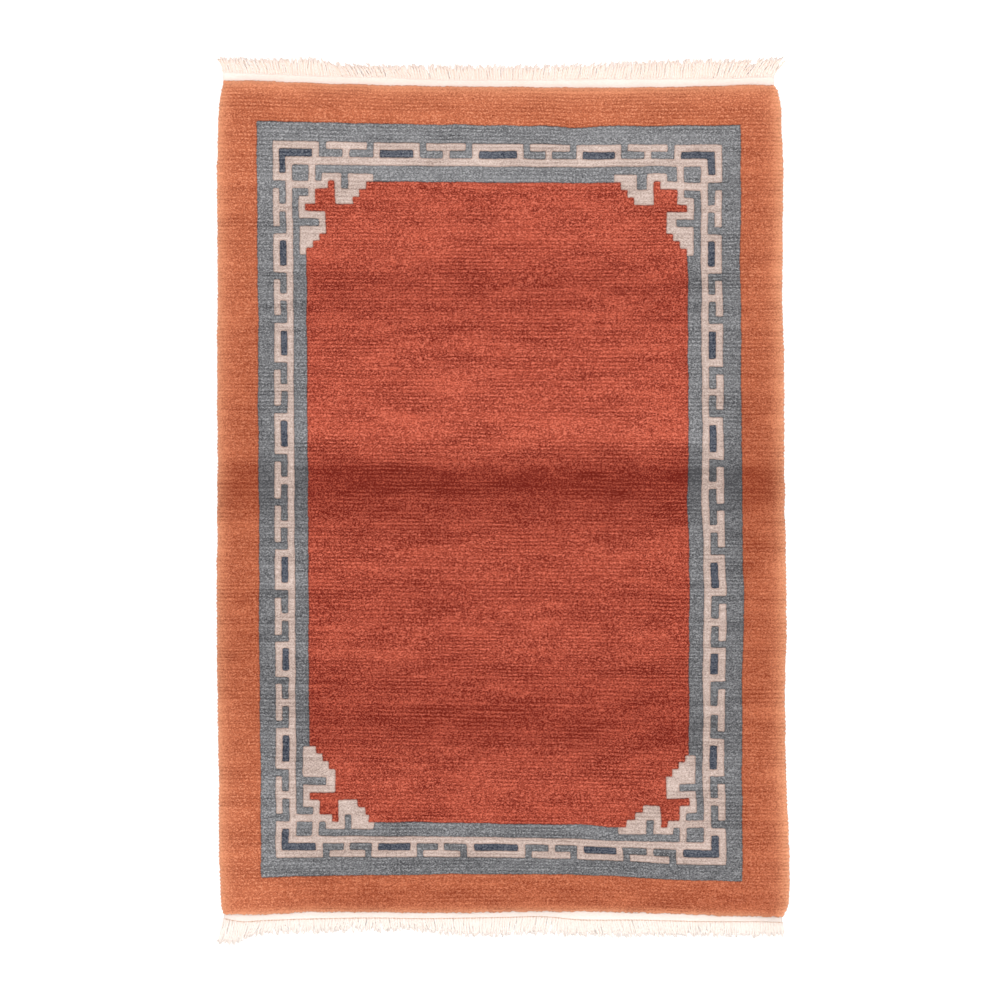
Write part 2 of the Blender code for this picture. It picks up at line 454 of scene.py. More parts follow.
class FringeSizes(bpy.types.PropertyGroup):
    """Strands and webs of the two ends."""

    strands: bpy.props.IntProperty(
        name="Strands", description="Strands in a layer of an end", default=200, min=20, max=400
    )
    ply_radius: length("Ply radius", "Half the width of one ply", 0.00080)
    ply_offset: length("Ply offset", "From a strand's middle to a ply's", 0.00068)
    turn: length("Turn", "Length of one turn of the twist", 0.0075)
    twining: length("Twining", "Length of one turn of the twined edge", 0.006)
    web_height: length("Web height", "Thickness of the flat web", 0.002)
    web_relief: length("Web relief", "Height of its weave", 0.0004)


class StageSettings(bpy.types.PropertyGroup):
    """Camera, lights and floor."""

    view_width: length("View width", "Width of the picture on the pile", 1.076)
    lens: item("Lens", "Focal length in millimetres", 200.0, high=400.0)
    head_light: item("Head light", "Power of the soft light at the head, in watts", 53.5, high=900.0)
    side_light: item("Side lights", "Power of each of the other three, in watts", 50.5, high=900.0)
    sky: item("Sky", "Strength of the even light all round", 0.715)


class SmoothLine:
    """A smooth line through one column of a table."""

    def __init__(self, table, key, column):
        rows = sorted(table, key=lambda row: getattr(row, key))
        self.places = [getattr(row, key) for row in rows]
        self.values = [getattr(row, column) for row in rows]
        last = len(rows) - 1
        self.slopes = []
        for k in range(len(rows)):
            before = max(k - 1, 0)
            after = min(k + 1, last)
            rise = self.values[after] - self.values[before]
            self.slopes.append(rise / (self.places[after] - self.places[before]))

    def __call__(self, at):
        if at <= self.places[0]:
            return self.values[0]
        if at >= self.places[-1]:
            return self.values[-1]
        i = bisect_right(self.places, at) - 1
        span = self.places[i + 1] - self.places[i]
        f = (at - self.places[i]) / span
        start = self.values[i] * (1 + 2 * f) * (1 - f) ** 2
        end = self.values[i + 1] * f * f * (3 - 2 * f)
        bend = self.slopes[i] * f * (1 - f) ** 2 - self.slopes[i + 1] * f * f * (1 - f)
        return start + end + bend * span


def smooth(table):
    """A smooth line for each column of a table, along the first of its columns."""
    key, *columns = table[0]._fields
    lines = namedtuple("Lines", columns)
    return lines(*(SmoothLine(table, key, column) for column in columns))


SIDE = smooth(SIDES)
COLUMN = smooth(COLUMNS)
ROW = smooth(ROWS)
BAND = smooth(BANDS)

# The strands and the twined edges end where the outline passes this Y.
CORNER_Y = 447.0


class EndLine:
    """One end of the rug: smooth lines through its table, and its two corners."""

    def __init__(self, table, direction):
        self.direction = direction
        self.pile, self.web, self.fringe, self.lean = smooth(table)
        self.left = SIDE.left(direction * CORNER_Y)
        self.right = SIDE.right(direction * CORNER_Y)


ENDS = {"head": EndLine(HEAD, 1.0), "foot": EndLine(FOOT, -1.0)}
HEAD_PILE = ENDS["head"].pile
FOOT_PILE = ENDS["foot"].pile


def column_x(column, y):
    """X of a column of the chart, in millimetres, where it passes y."""
    share = (ROW.left(0) - y) / (ROW.left(0) - ROW.left(FRET_ROWS))
    share = min(max(share, -0.05), 1.05)
    return COLUMN.head(column) + share * (COLUMN.foot(column) - COLUMN.head(column))


def row_y(row, column):
    """Y of a row of the chart, in millimetres, at a column."""
    share = min(max(column / FRET_COLUMNS, -0.05), 1.05)
    bow = ROW.bow(row) * 4 * share * (1 - share)
    return ROW.left(row) + share * (ROW.right(row) - ROW.left(row)) + bow


def knot_place(column, row):
    """The point of the rug, in millimetres, that a place on the chart falls on."""
    first = -SLATE_KNOTS
    last_row = FRET_ROWS + SLATE_KNOTS
    last_column = FRET_COLUMNS + SLATE_KNOTS

    y = row_y(min(max(row, first), last_row), column)
    x = column_x(min(max(column, first), last_column), y)
    x, y = pulled(x, y)
    if row < first:
        y += (HEAD_PILE(x) - y) * (first - row) / (first - TOP_ROW)
    elif row > last_row:
        y += (FOOT_PILE(x) - y) * (row - last_row) / (BOTTOM_ROW - last_row)
    if column < first:
        x += (SIDE.left(y) - x) * (first - column) / (first - LEFT_COLUMN)
    elif column > last_column:
        x += (SIDE.right(y) - x) * (column - last_column) / (RIGHT_COLUMN - last_column)
    return x, y


def pulled(x, y):
    """A point moved with the knots that crept aside around it."""
    across, along = 0.0, 0.0
    for pull in PULLS:
        away = math.hypot(x - pull.x, y - pull.y) / pull.reach
        if away < 2.5:
            share = math.exp(-away * away)
            across += share * pull.across
            along += share * pull.along
    return x + across, y + along


def rim_distances(x, y):
    """How far a point lies in from the pile's sides, head and foot, in millimetres."""
    across = min(x - SIDE.left(y), SIDE.right(y) - x)
    return [max(d, 0.0) for d in (across, HEAD_PILE(x) - y, y - FOOT_PILE(x))]


def even_rise(value, low, high):
    """0 up to low, 1 from high on, and even between."""
    return min(max((value - low) / (high - low), 0.0), 1.0)


def band_at(x, y):
    """The share of the pale tone at a point of the pile."""
    y += 6.0 * noise.noise(Vector((x / 60, y / 30, 5.0)))
    side = BAND.left(y) if x < 0 else BAND.right(y)
    share = even_rise(abs(x), *BORDER_BANDS)
    return share * side + (1.0 - share) * BAND.middle(y)


def mirrored(block, side, end):
    """The same block at another corner of the fret."""
    left, right, top, bottom = block.left, block.right, block.top, block.bottom
    if side == "right":
        left, right = FRET_COLUMNS - right, FRET_COLUMNS - left
    if end == "foot":
        top, bottom = FRET_ROWS - bottom, FRET_ROWS - top
    return Block(block.yarn, left, right, top, bottom)


def bracket(corner):
    """The bracket in a corner of the field: its arms along the end and the side."""
    start = corner.start
    after = start + 6 + corner.gap
    blocks = [
        cream(8, 13, 14, 16),
        cream(8, 10, 14, 20),
        cream(start, start + 6, 8, 10),
        cream(start, start + 2, 8, 12),
        cream(start + 4, start + 6, 8, 12),
        slate(start + 6, after, 8, 12),
        cream(after, after + 7, 8, 10),
        cream(after, after + 5, 10, 12),
        cream(start + 4, start + 4 + corner.step, 12, 14),
        cream(start + 4, start + 2 + corner.step, 14, 16),
        cream(8, corner.reach, 18, 22),
        slate(8, corner.stub, 20, 22),
    ]
    for step in range(4):
        top = 22 + 2 * step
        blocks.append(cream(8, corner.reach - 2 * step, top, top + 2))
    return blocks


def end_figures():
    """The T shapes and boxes along the half of an end, from its corner."""
    blocks = []
    for kind, start, width in END_FIGURES:
        stop = start + width
        blocks.append(cream(start, stop, 0, 2))
        if kind == "T":
            middle = start + width // 2
            blocks.append(cream(middle - 1, middle + 1, 2, 4))
        else:
            blocks.append(cream(start, stop, 2, 4))
            blocks.append(navy(start + 2, stop - 2, 2, 4))
    return blocks


def side_figures():
    """The T shapes and boxes along the half of a side, from its corner."""
    blocks = []
    start = FRET_DEPTH + FIGURE_GAP
    for kind in SIDE_FIGURES:
        stop = start + SIDE_HEIGHTS[kind]
        blocks.append(cream(0, 2, start, stop))
        if kind == "T":
            blocks.append(cream(2, 4, start + 4, start + 6))
        else:
            blocks.append(cream(2, 4, start, stop))
            blocks.append(navy(2, 4, start + 2, stop - 2))
        start = stop + FIGURE_GAP
    return blocks


def chart():
    """The yarn of each knot: rows from the foot up, columns from the left."""
    knots = [["rust"] * PILE_COLUMNS for _ in range(PILE_ROWS)]

    def lay(block):
        for row in range(block.top - TOP_ROW, block.bottom - TOP_ROW):
            for column in range(block.left - LEFT_COLUMN, block.right - LEFT_COLUMN):
                knots[row][column] = block.yarn

    def nested(yarn, inset):
        lay(Block(yarn, inset, FRET_COLUMNS - inset, inset, FRET_ROWS - inset))

    nested("slate", -SLATE_KNOTS)
    nested("cream", 4)
    nested("slate", 6)
    nested("red", FRET_DEPTH)
    figures = end_figures() + side_figures() + list(FRET_CORNER)
    inner_lines = [cream(4, 6, 4, FRET_DEPTH), cream(4, 14, 4, 6)]
    for (side, end), corner in CORNERS.items():
        for block in figures + bracket(corner) + inner_lines:
            lay(mirrored(block, side, end))
    return knots[::-1]


def yarn_tones(rng):
    """How pale each knot is, in streaks along the rows, in the order of the chart."""
    change = 0.06
    tones = []
    for _ in range(PILE_ROWS):
        row_tone = rng.uniform(0.0, 1.0)
        streak = rng.uniform(0.0, 1.0)
        row = []
        for _ in range(PILE_COLUMNS):
            if rng.random() < change:
                streak = rng.uniform(0.0, 1.0)
            row.append(0.3 * rng.random() + 0.4 * streak + 0.3 * row_tone)
        tones.append(row)
    return tones[::-1]


def grid(bm, columns, rows, place):
    """A grid of faces, with each point set by its column and row."""
    made = bmesh.ops.create_grid(
        bm, x_segments=columns - 1, y_segments=rows - 1, size=0.5, calc_uvs=True
    )["verts"]
    for vert in made:
        i = round((vert.co.x + 0.5) * (columns - 1))
        j = round((vert.co.y + 0.5) * (rows - 1))
        vert.co = place(i, j)
    bm.verts.index_update()


def column_and_row(face, columns):
    """The column and row of a face of a grid, from the order of the grid's points."""
    row, column = divmod(min(vert.index for vert in face.verts), columns + 1)
    return column, row


def border_of(bm):
    """The edges with a face on one side only."""
    return [edge for edge in bm.edges if edge.is_boundary]


def extrude_border(bm, height):
    """Take the border of an open sheet straight to a height, and return it there."""
    made = bmesh.ops.extrude_edge_only(bm, edges=border_of(bm))["geom"]
    moved = [part for part in made if isinstance(part, bmesh.types.BMVert)]
    for vert in moved:
        vert.co.z = height
    return moved


def close_border(bm, height):
    """Take the border of an open sheet to a height and fill it there."""
    moved = set(extrude_border(bm, height))
    rim = [edge for edge in border_of(bm) if set(edge.verts) <= moved]
    bmesh.ops.edgeloop_fill(bm, edges=rim)
    bmesh.ops.recalc_face_normals(bm, faces=bm.faces)


def tubes(bm, sides, rings, count, place):
    """Grids rolled up round lines, still open along their seams and ends."""

    def point(i, j):
        return place(math.tau * i / sides, j // rings, j % rings)

    grid(bm, sides + 1, rings * count, point)
    between = [face for face in bm.faces if column_and_row(face, sides)[1] % rings == rings - 1]
    bmesh.ops.delete(bm, geom=between, context="FACES")


def add_object(name, data):
    """A new object in the scene."""
    made = bpy.data.objects.new(name, data)
    bpy.context.scene.collection.objects.link(made)
    return made


def mesh_object(bm, name, material):
    """The shape as an object of one material."""
    if not bm.faces:
        raise RuntimeError(name + " has no faces")
    mesh = bpy.data.meshes.new(name)
    bm.to_mesh(mesh)
    bm.free()
    mesh.materials.append(material)
    return add_object(name, mesh)


def make_piece(bm, name, material):
    """A smooth piece that moves with the rug."""
    for face in bm.faces:
        face.smooth = True
    piece = mesh_object(bm, name, material)
    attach(piece, "root")
    return piece


class Amount:
    """A number that varies over a surface, with Math nodes for its sums."""

    def __init__(self, finish, socket):
        self.finish = finish
        self.socket = socket

    def __add__(self, other):
        return self.finish.math("ADD", self, other)

    def __radd__(self, other):
        return self.finish.math("ADD", other, self)

    def __sub__(self, other):
        return self.finish.math("SUBTRACT", self, other)

    def __rsub__(self, other):
        return self.finish.math("SUBTRACT", other, self)

    def __mul__(self, other):
        return self.finish.math("MULTIPLY", self, other)

    def __rmul__(self, other):
        return self.finish.math("MULTIPLY", other, self)

    def clamped(self):
        """The same number, held between 0 and 1."""
        return self.finish.math("ADD", self, 0.0, clamp=True)


class Finish:
    """One material and the nodes that paint it."""

    def __init__(self, name):
        self.material = bpy.data.materials.new(name)
        self.material.use_nodes = True
        self.tree = self.material.node_tree
        self.shader = self.tree.nodes["Principled BSDF"]

    def node(self, kind, settings=None, inputs=None):
        """Add a node, make its settings, then fill its sockets."""
        node = self.tree.nodes.new(kind)
        for name, value in (settings or {}).items():
            if name == "stops":
                self._set_stops(node.color_ramp, value)
            else:
                setattr(node, name, value)
        for name, value in (inputs or {}).items():
            self.feed(node.inputs[name], value)
        return node

    def _set_stops(self, ramp, stops):
        """Give a ramp its places and colours."""
        while len(ramp.elements) < len(stops):
            ramp.elements.new(1.0)
        for element, (place, colour) in zip(ramp.elements, stops):
            element.position = place
            element.color = colour

    def feed(self, socket, value):
        """Link a socket, or set it where the value is plain."""
        if isinstance(value, Amount):
            value = value.socket
        if isinstance(value, bpy.types.NodeSocket):
            self.tree.links.new(value, socket)
        else:
            socket.default_value = value

    def math(self, operation, first, second, clamp=False):
        """Two numbers put together by a Math node."""
        settings = {"operation": operation, "use_clamp": clamp}
        node = self.node("ShaderNodeMath", settings, {0: first, 1: second})
        return Amount(self, node.outputs[0])

    def cloud(self, across, along, detail=2.0, shift=0.0, curl=0.0):
        """Soft noise whose patches have a size across and along, in metres."""
        scale = (1.0 / across, 1.0 / along, 1.0 / across)
        place = self.node("ShaderNodeTexCoord").outputs["Object"]
        place = self.node("ShaderNodeMapping", {}, {"Vector": place, "Scale": scale}).outputs[0]
        inputs = {"Vector": place, "Scale": 1.0, "Detail": detail, "W": shift, "Distortion": curl}
        node = self.node("ShaderNodeTexNoise", {"noise_dimensions": "4D"}, inputs)
        return Amount(self, node.outputs[0])

    def attribute(self, name):
        """A number kept on the piece's points or faces."""
        node = self.node("ShaderNodeAttribute", {"attribute_name": name})
        return Amount(self, node.outputs["Fac"])

    def step(self, value, low, high):
        """0 below low, 1 above high, smooth between."""
        inputs = {0: value, 1: low, 2: high, 3: 0.0, 4: 1.0}
        settings = {"interpolation_type": "SMOOTHSTEP"}
        return Amount(self, self.node("ShaderNodeMapRange", settings, inputs).outputs[0])

    def blend(self, factor, first, second):
        """From the first colour to the second."""
        inputs = {0: factor, 6: first, 7: second}
        return self.node("ShaderNodeMix", {"data_type": "RGBA"}, inputs).outputs[2]

    def bump(self, height, distance, strength):
        """Let the light see a fine relief, with its distance in metres."""
        inputs = {"Height": height, "Distance": distance, "Strength": strength}
        self.feed(self.shader.inputs["Normal"], self.node("ShaderNodeBump", {}, inputs).outputs[0])

    def surface(self, colour, roughness, sheen=0.0):
        """Set the matt surface of fibres and of the floor."""
        self.feed(self.shader.inputs["Base Color"], colour)
        self.feed(self.shader.inputs["Roughness"], roughness)
        self.shader.inputs["Sheen Weight"].default_value = sheen
        self.shader.inputs["Sheen Roughness"].default_value = 0.5
        self.shader.inputs["Specular IOR Level"].default_value = 0.1


def opaque(colour):
    """The colour with full alpha, as a node's socket takes it."""
    return (*colour, 1.0)


def tinted(colour, tint):
    """The colour with each of its parts scaled."""
    return opaque([c * t for c, t in zip(colour, tint)])


def shaded_yarn(colour):
    """Painted shade: the yarn seen down between the tufts, darker and more saturated."""
    darkness, saturation = 0.52, 0.38
    strongest = max(colour)
    return opaque([darkness * c * (c / strongest) ** saturation for c in colour])


def pale(colour, tips):
    """The yarn's paler tone, with painted sheen on the tips of the pile, a little further from its
    shaded tone.
    """
    own, lit_share, further = 0.8, 0.35, 0.25
    mixed = [own * c + lit_share * t for c, t in zip(colour, tips)]
    return opaque([(1.0 + further) * m - further * d for m, d in zip(mixed, shaded_yarn(colour))])


def wool(yarn, colours):
    """Cut wool pile: streaky rows of tufts, with painted sheen on the tips and painted shade in the
    gaps.
    """
    look = WOOLS[yarn]
    colour = getattr(colours, yarn)
    tips = getattr(colours, yarn + "_tips")
    finish = Finish("wool_" + yarn)
    tone = finish.attribute("tone")
    tip = finish.attribute("tip")
    band = finish.attribute("band")
    flecks = finish.cloud(0.0017, 0.0012, 1.0, 1.0)
    streaks = finish.cloud(0.040, 0.0034, 2.0, 2.0)
    patches = finish.cloud(0.050, 0.016, 2.0, 3.0)

    # The share of the paler tone: the yarn's bands, random tone, streaks, flecks and patches, with
    # painted shade in the grooves where the tip mark is low.
    share = MEAN_BAND + (band - MEAN_BAND) * look.bands + (tone - 0.5) * (0.45 * look.streaks)
    share = share + (flecks - 0.5) * (2.4 * look.flecks)
    share = share + (streaks - 0.5) * (0.9 * look.streaks)
    share = share + (patches - 0.5) * (0.75 * look.flecks)
    share = ((share + (tip - MEAN_TIP) * (0.40 * look.flecks)) * 0.8).clamped()
    shade = finish.blend(share, shaded_yarn(colour), pale(colour, tips))

    # The rust takes painted light on its rim, and the cream painted shade along its joins.
    if yarn in EDGES:
        edge, place = EDGES[yarn]
        lit = finish.attribute(place) * (0.35 + share * 0.75)
        shade = finish.blend(lit, shade, opaque(getattr(colours, edge)))
    # Painted glints: small painted highlights in the tips colour, most on the tufts and in the paler
    # bands.
    glints = finish.step(finish.cloud(0.0020, 0.0013, 0.0, 7.0, 0.6), 0.52, 0.68)
    glints = glints * (0.3 + tip * 0.7) * ((band - 0.12) * 1.9).clamped()
    shade = finish.blend(glints * look.glints, shade, opaque(tips))

    fibres = finish.cloud(0.0009, 0.0007, 3.0, 5.0)
    finish.surface(shade, 0.84 + fibres * 0.14, sheen=0.08)
    finish.bump(fibres + flecks * 0.8, 0.0009, 0.55)
    return finish.material


def wool_back(name, colours):
    """The underside: each knot's loop in its own yarn, flat and tight, with painted shadow between
    the loops.
    """
    finish = Finish(name)
    last = len(YARNS)
    stops = [(k / last, opaque(getattr(colours, yarn))) for k, yarn in enumerate(YARNS)]
    inputs = {"Fac": finish.attribute("yarn")}
    ramp = finish.node("ShaderNodeValToRGB", {"stops": stops}, inputs)
    ramp.color_ramp.interpolation = "CONSTANT"
    tone = finish.attribute("tone")
    fleck = finish.cloud(0.0025, 0.0015, 3.0, 1.0)
    # How far each loop stands out of the painted shadow, with its random tone and flecks.
    lit = (0.55 + tone * 0.35 + (fleck - 0.5) * 0.6).clamped()
    shadow_between_loops = (0.05, 0.035, 0.03, 1.0)
    shade = finish.blend(lit, shadow_between_loops, ramp.outputs["Color"])
    finish.surface(shade, 0.85 + fleck * 0.1, sheen=0.1)
    finish.bump(finish.cloud(0.0018, 0.0030, 2.0, 6.0) + fleck, 0.0008, 0.6)
    return finish.material


def cotton(name, colour, across, along, layered=False):
    """Undyed cotton yarn, with shade between its threads."""
    finish = Finish(name)
    threads = finish.cloud(across, along, 2.0, 1.0)
    fibres = finish.cloud(0.0007, 0.0007, 3.0, 2.0)
    stains = finish.cloud(0.05, 0.03, 2.0, 3.0)
    # Painted shade between the threads and painted light on them, with stains at random.
    share = (0.62 + (threads - 0.5) * 0.9 + (fibres - 0.5) * 0.5 + (stains - 0.5) * 0.5).clamped()
    light = opaque([min(1.06 * c, 1.0) for c in colour])
    shade = finish.blend(share, tinted(colour, SHADE_BETWEEN_THREADS), light)
    if layered:
        shade = finish.blend(finish.attribute("lower"), shade, tinted(colour, SHADE_OF_LOWER_LAYERS))
    finish.surface(shade, 0.80 + fibres * 0.15, sheen=0.1)
    finish.bump(threads + fibres * 0.6, 0.0006, 0.5)
    return finish.material


def floor_finish():
    """A plain pale floor, faintly mottled."""
    finish = Finish("pale_floor")
    mottle = finish.cloud(0.4, 0.4, 2.0, 1.0)
    shade = finish.blend(mottle, (0.90, 0.90, 0.90, 1.0), (0.92, 0.92, 0.92, 1.0))
    finish.surface(shade, 0.6 + mottle * 0.1)
    return finish.material


class RUG_OT_ground_cloth(bpy.types.Operator):
    """Weave the ground cloth, with the loops of the knots on its underside"""

    bl_idname = "rug.ground_cloth"
    bl_label = "Ground Cloth"

    def execute(self, context):
        sizes = context.scene.rug_sizes
        knots = chart()
        rng = random.Random(SEED + 1)

        def point(i, j):
            x, y = knot_place(LEFT_COLUMN + i, BOTTOM_ROW - j)
            lift = sizes.back_relief * (0.5 * (j % 2) + 0.5 * rng.random())
            return (x * MM * GROUND_SHARE, y * MM * GROUND_SHARE, lift)

        bm = bmesh.new()
        tone = bm.faces.layers.float.new("tone")
        yarn = bm.faces.layers.float.new("yarn")
        grid(bm, PILE_COLUMNS + 1, PILE_ROWS + 1, point)
        for face in bm.faces:
            column, row = column_and_row(face, PILE_COLUMNS)
            face[tone] = rng.random()
            face[yarn] = (YARNS.index(knots[row][column]) + 0.5) / len(YARNS)
        close_border(bm, sizes.ground)
        piece = make_piece(bm, "ground_cloth", wool_back("wool_back", context.scene.rug_colours))
        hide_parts("rug_cloth")
        return {"FINISHED"}


def yarns_round(knots, i, j):
    """The yarns of the knots round a point of the pile, by their side of it."""
    found = {}
    for right in (0, 1):
        for up in (0, 1):
            column = (i - 1 + right) // 2
            row = (j - 1 + up) // 2
            if 0 <= column < PILE_COLUMNS and 0 <= row < PILE_ROWS:
                found[(2 * right - 1, 2 * up - 1)] = knots[row][column]
    return found


def rim_light_at(x, y, in_groove):
    """How much painted light the pile's rim takes at a point, a little less in the grooves at the
    sides.
    """
    side, head, foot = rim_distances(x, y)
    at_side = math.exp(-side / SIDE_RIM_REACH)
    lit_share = at_side
    if x > 0:
        near_foot = even_rise(-y, *RIGHT_RIM_GROWS)
        lit_share = (1.25 + 0.25 * near_foot) * math.exp(-side / RIGHT_RIM_REACH)
        lit_share = min(lit_share, 1.0 + 0.35 * near_foot)
    rim_light = max(lit_share, 0.65 * math.exp(-head / HEAD_RIM_REACH), math.exp(-foot / FOOT_RIM_REACH))
    return 0.75 * rim_light if in_groove and at_side >= 0.3 else rim_light


def lines_at(x, y, yarn):
    """How strongly the lines between the rows show at a point of the pile."""
    _, head, foot = rim_distances(x, y)
    line_strength = 1.0 + 1.6 * noise.noise(Vector((x / 70, y / 22, 7.0)))
    line_strength *= WOOLS[yarn].lines
    if foot < SOFT_LINES:
        line_strength *= 0.7
    elif head < STRONG_LINES:
        line_strength *= 1.3
    return min(max(line_strength, 0.15), 1.2)


def whole_pile(sizes):
    """The top of the pile, with a point for each tuft and for the gaps round it."""
    rng = random.Random(SEED)
    knots = chart()
    tones = yarn_tones(rng)
    looks = {}

    def point(i, j):
        x, y = knot_place(LEFT_COLUMN + i / 2, BOTTOM_ROW - j / 2)
        side, head, foot = rim_distances(x, y)
        short = 1.0 - min(min(side, head, foot) * MM / sizes.edge_rounding, 1.0)
        rise = math.sqrt(1.0 - short * short)
        z = sizes.edge_height + (sizes.pile_height - sizes.edge_height) * rise
        between_knots = i % 2 == 0
        between_rows = j % 2 == 0
        around = yarns_round(knots, i, j)
        names = list(around.values())
        # Where yarns meet, the pile is carved deeper and the cream takes painted shade.
        mixed = 1.0 if len(set(names)) > 1 else 0.0
        lined = lines_at(x, y, names[0])
        # The tip mark is 1 on the tufts and lower in the grooves, where the wool takes painted
        # shade.
        raised = (0.0 if between_rows else 1.0) * (0.85 if between_knots else 1.0)
        tip = MEAN_TIP + (raised - MEAN_TIP) * lined
        looks[(i, j)] = (tip, rim_light_at(x, y, between_rows), band_at(x, y), mixed)

        if between_rows:
            z -= sizes.row_groove * lined * (1.0 + 0.5 * math.exp(-side / SIDE_RIM_REACH))
        if between_knots:
            z -= sizes.knot_groove
        if between_rows or between_knots:
            z += rng.uniform(-0.3, 0.3) * sizes.uneven_tips
            z -= sizes.carving * mixed
        else:
            z += rng.uniform(-1.0, 0.6) * sizes.uneven_tips

        if between_rows and between_knots and len(set(names)) == 2:
            for (right, up), name in around.items():
                if names.count(name) == 1:
                    x += CORNER_ROUNDING * right
                    y += CORNER_ROUNDING * up
        across = noise.noise(Vector((x / WANDER_LENGTH, y / WANDER_LENGTH, 3.0))) * WANDER
        along = noise.noise(Vector((x / WANDER_LENGTH, y / WANDER_LENGTH, 9.0))) * WANDER
        x += across + rng.uniform(-LOOSE_ACROSS, LOOSE_ACROSS)
        y += along + rng.uniform(-LOOSE_ALONG, LOOSE_ALONG)
        if i in (0, 2 * PILE_COLUMNS):
            tuft = -0.3 if between_rows else 0.4
            x += (tuft + rng.uniform(-0.3, 0.3)) * (1 if i else -1)
        if j in (0, 2 * PILE_ROWS):
            y += rng.uniform(-0.3, 0.4) * (1.0 if j else -2.2)
        return (x * MM, y * MM, z)

    bm = bmesh.new()
    tone = bm.faces.layers.float.new("tone")
    yarn = bm.faces.layers.int.new("yarn")
    marks = [bm.verts.layers.float.new(name) for name in ("tip", "rim", "band", "seam")]
    grid(bm, 2 * PILE_COLUMNS + 1, 2 * PILE_ROWS + 1, point)
    for vert in bm.verts:
        j, i = divmod(vert.index, 2 * PILE_COLUMNS + 1)
        for mark, value in zip(marks, looks[(i, j)]):
            vert[mark] = value
    for face in bm.faces:
        i, j = column_and_row(face, 2 * PILE_COLUMNS)
        face[tone] = tones[j // 2][i // 2]
        face[yarn] = YARNS.index(knots[j // 2][i // 2])
    return bm


class RUG_OT_pile(bpy.types.Operator):
    """Knot the pile after the chart, one piece for each yarn"""

    bl_idname = "rug.pile"
    bl_label = "Pile"

    def execute(self, context):
        sizes = context.scene.rug_sizes
        pile = whole_pile(sizes)
        for k, name in enumerate(YARNS):
            part = pile.copy()
            own = part.faces.layers.int["yarn"]
            others = [face for face in part.faces if face[own] != k]
            bmesh.ops.delete(part, geom=others, context="FACES")
            tip = part.verts.layers.float["tip"]
            # The walls down to the ground get a tip mark of 0, and so painted shade.
            for vert in extrude_border(part, sizes.ground):
                vert[tip] = 0.0
            down = (0.0, 0.0, -1.0)
            bmesh.ops.triangle_fill(part, edges=border_of(part), use_beauty=True, normal=down)
            bmesh.ops.recalc_face_normals(part, faces=part.faces)
            piece = make_piece(part, "pile_" + name, wool(name, context.scene.rug_colours))
        pile.free()
        return {"FINISHED"}


class RUG_OT_webs(bpy.types.Operator):
    """Weave the flat cotton webs at the two ends"""

    bl_idname = "rug.webs"
    bl_label = "Webs"

    def execute(self, context):
        fringe = context.scene.rug_fringe
        yarns = context.scene.rug_colours
        colours = {"head": yarns.cotton, "foot": yarns.pale_cotton}
        columns = 2 * fringe.strands
        for name, end in ENDS.items():
            edge_y = end.pile(0.0) + end.direction * end.web(0.0)
            left = SIDE.left(edge_y)
            right = SIDE.right(edge_y)

            def point(i, j):
                x = left + (right - left) * i / columns
                out = -WEB_TUCKED if j == 0 else end.web(x) * (j - 1) / WEB_ROWS
                y = end.pile(x) + end.direction * out
                y += 0.25 * noise.noise(Vector((x / 5, j * 0.6, 2.0)))
                below = 0.0 if (i + j) % 2 else fringe.web_relief
                return (x * MM, y * MM, fringe.web_height - below)

            bm = bmesh.new()
            grid(bm, columns + 1, WEB_ROWS + 2, point)
            close_border(bm, WEB_BOTTOM * MM)
            material = cotton(name + "_web_cotton", colours[name], 0.003, 0.0011)
            piece = make_piece(bm, name + "_web", material)
        return {"FINISHED"}


def twined_edge(bm, end, twine, turn_length):
    """Two yarns twisted round each other along the web's outer edge."""
    left = end.left + TWINE_INSET
    right = end.right - TWINE_INSET
    rings = int(right - left)

    def place(around, ply, ring):
        x = left + (right - left) * ring / (rings - 1)
        y = end.pile(x) + end.direction * (end.web(x) + twine.out)
        turn = math.tau * x * MM / turn_length + math.pi * ply
        radius = 0.0 if ring in (0, rings - 1) else twine.radius
        y += twine.offset * math.cos(turn) + radius * math.cos(around)
        z = TWINE_HEIGHT + twine.offset * math.sin(turn) + radius * math.sin(around)
        return (x * MM, y * MM, z * MM)

    tubes(bm, TUBE_SIDES, rings, 2, place)


def strands_of(name, count, rng):
    """The strands of an end: one layer on top and two shorter layers below it."""
    end = ENDS[name]
    left = end.left + 1.0
    right = end.right - (1.0 if name == "head" else 2.5)
    strands = []
    for layer in LAYERS:
        for k in range(count):
            x = left + (right - left) * (k + layer.start) / count + rng.uniform(-0.5, 0.5)
            y = end.pile(x) + end.direction * (end.web(x) - STRAND_ROOT)
            length = end.fringe(x) + 2.0 - layer.shorter + rng.uniform(-1.9, 0.9)
            lean = end.lean(x) + rng.uniform(-layer.spread, layer.spread)
            curl = UNRULY_CURL if rng.random() < UNRULY_SHARE else CURL[name]
            strands.append(Strand(x, y, length, lean, layer.height, curl, rng.uniform(0.0, 6.0)))
    return strands


